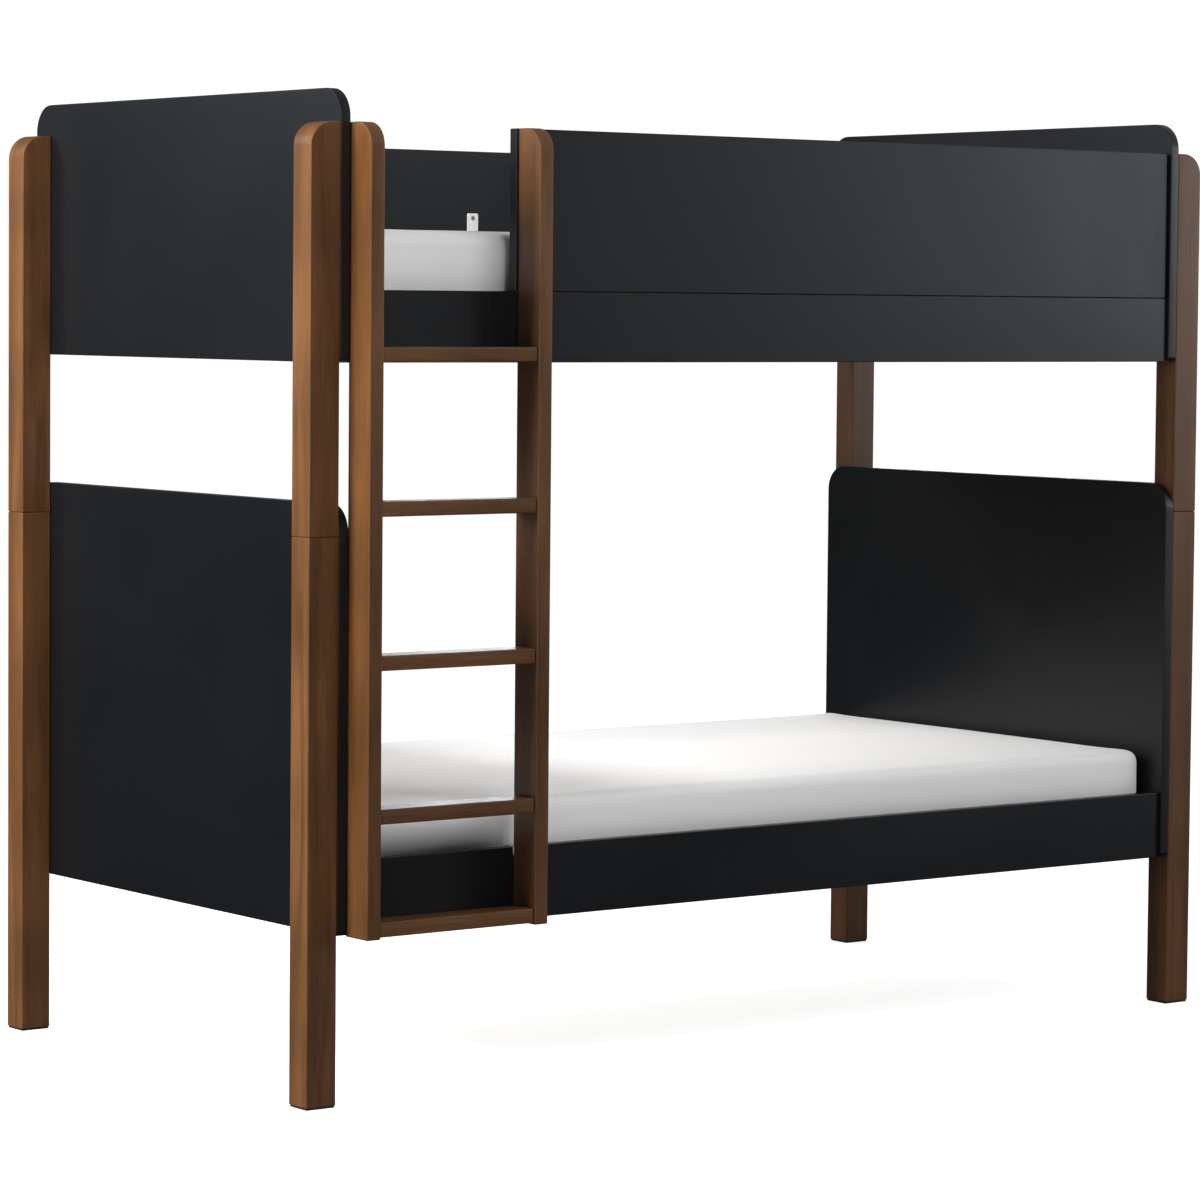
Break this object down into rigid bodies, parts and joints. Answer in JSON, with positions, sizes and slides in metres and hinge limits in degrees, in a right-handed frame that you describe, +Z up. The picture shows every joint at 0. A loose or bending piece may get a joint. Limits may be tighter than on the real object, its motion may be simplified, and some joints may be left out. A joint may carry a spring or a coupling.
{
  "type": "bunk bed",
  "caption": "Bunk bed with flat black end panels on square walnut posts, stacked slatted berths with mattresses, guard rails and a straight front ladder.",
  "frame": {"origin": "on the floor, in the middle of the footprint of the whole object, ladder included", "axes": "+X along the bed, away from the ladder's end; +Y from the ladder side to the back; +Z up"},
  "size_m": [2.085, 1.092, 1.735],
  "materials": {
    "walnut": "walnut-stained hardwood, satin lacquer",
    "lacquer": "black satin lacquer on board",
    "slat_wood": "bare planed pine, slats on webbing straps",
    "mattress": "smooth white knitted cover",
    "steel": "bright zinc-plated steel",
    "glide": "black nail-on glide"
  },
  "bodies": {
    "lower_bunk": {"lower_post_front_left": "walnut", "foot_glide_front_left": "glide", "lower_post_front_right": "walnut", "foot_glide_front_right": "glide", "lower_post_back_left": "walnut", "foot_glide_back_left": "glide", "lower_post_back_right": "walnut", "foot_glide_back_right": "glide", "lower_panel_left": "lacquer", "lower_panel_right": "lacquer", "lower_rail_front": "lacquer", "lower_ledger_front": "slat_wood", "lower_corner_front_left": "steel", "lower_corner_front_right": "steel", "lower_rail_back": "lacquer", "lower_ledger_back": "slat_wood", "lower_corner_back_left": "steel", "lower_corner_back_right": "steel", "post_dowel_front_left": "steel", "post_dowel_front_right": "steel", "post_dowel_back_left": "steel", "post_dowel_back_right": "steel", "lower_slat_base": "slat_wood"},
    "upper_bunk": {"upper_post_front_left": "walnut", "upper_post_front_right": "walnut", "upper_post_back_left": "walnut", "upper_post_back_right": "walnut", "upper_panel_left": "lacquer", "upper_panel_right": "lacquer", "upper_rail_front": "lacquer", "upper_ledger_front": "slat_wood", "guard_rail_front": "lacquer", "upper_corner_front_left": "steel", "upper_corner_front_right": "steel", "guard_plate_front_left": "steel", "guard_plate_front_middle": "steel", "guard_plate_front_right": "steel", "upper_rail_back": "lacquer", "upper_ledger_back": "slat_wood", "guard_rail_back": "lacquer", "upper_corner_back_left": "steel", "upper_corner_back_right": "steel", "guard_plate_back_left": "steel", "guard_plate_back_middle": "steel", "guard_plate_back_right": "steel", "upper_slat_base": "slat_wood", "ladder_stile_left": "walnut", "ladder_stile_right": "walnut", "ladder_rung_1": "walnut", "ladder_rung_2": "walnut", "ladder_rung_3": "walnut", "ladder_rung_4": "walnut", "ladder_rung_5": "walnut", "ladder_bolt_left": "steel", "ladder_bolt_right": "steel", "ladder_hook_left": "steel", "ladder_hook_right": "steel"},
    "lower_bedding": {"lower_mattress": "mattress"},
    "upper_bedding": {"upper_mattress": "mattress"}
  },
  "joints": [
    {"name": "upper_bunk_lift", "type": "slide", "parent": "lower_bunk", "child": "upper_bunk", "axis": [0, 0, 1], "range_m": [0, 0.08]},
    {"name": "upper_mattress_lift", "type": "slide", "parent": "upper_bunk", "child": "upper_bedding", "axis": [0, 0, 1], "range_m": [0, 0.35]},
    {"name": "lower_mattress_lift", "type": "slide", "parent": "lower_bunk", "child": "lower_bedding", "axis": [0, 0, 1], "range_m": [0, 0.15]}
  ]
}
